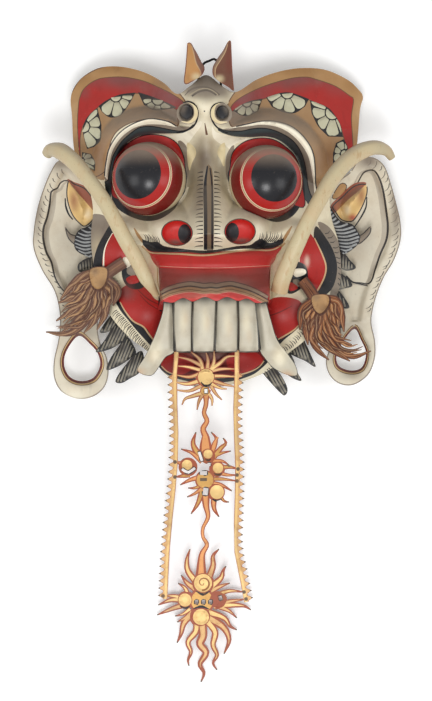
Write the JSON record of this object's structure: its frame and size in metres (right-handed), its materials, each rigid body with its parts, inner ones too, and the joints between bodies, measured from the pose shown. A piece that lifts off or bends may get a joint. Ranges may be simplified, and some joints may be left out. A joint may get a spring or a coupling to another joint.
{
  "type": "rangda mask",
  "caption": "Carved and painted demon mask lying on its back, with bulging eyes, long bent tusks, ear boards, a flared lip over bared teeth and a long cut-hide tongue.",
  "frame": {"origin": "middle of the bounding box, on the floor plane that the back rim lies on", "axes": "+Z away from the floor, out of the face; +Y to the crown; +X to the viewer's right"},
  "size_m": [0.3659, 0.6296, 0.1382],
  "materials": {
    "painted_wood": "cream, ochre, red and black paint, dusty and worn",
    "tusk": "polished yellowed tusk with brown stains",
    "gilt_hide": "worn gilding with red-brown edges",
    "brown_hide": "dark brown hide with traces of gilding",
    "iron": "dark iron wire"
  },
  "bodies": {
    "root": {"mask_head": "painted_wood", "ear_left": "painted_wood", "ear_right": "painted_wood", "tusk_left": "tusk", "tusk_right": "tusk", "hide_tongue": "gilt_hide", "flame_tuft_left": "brown_hide", "flame_tuft_right": "brown_hide", "hanging_wire": "iron"}
  },
  "joints": []
}
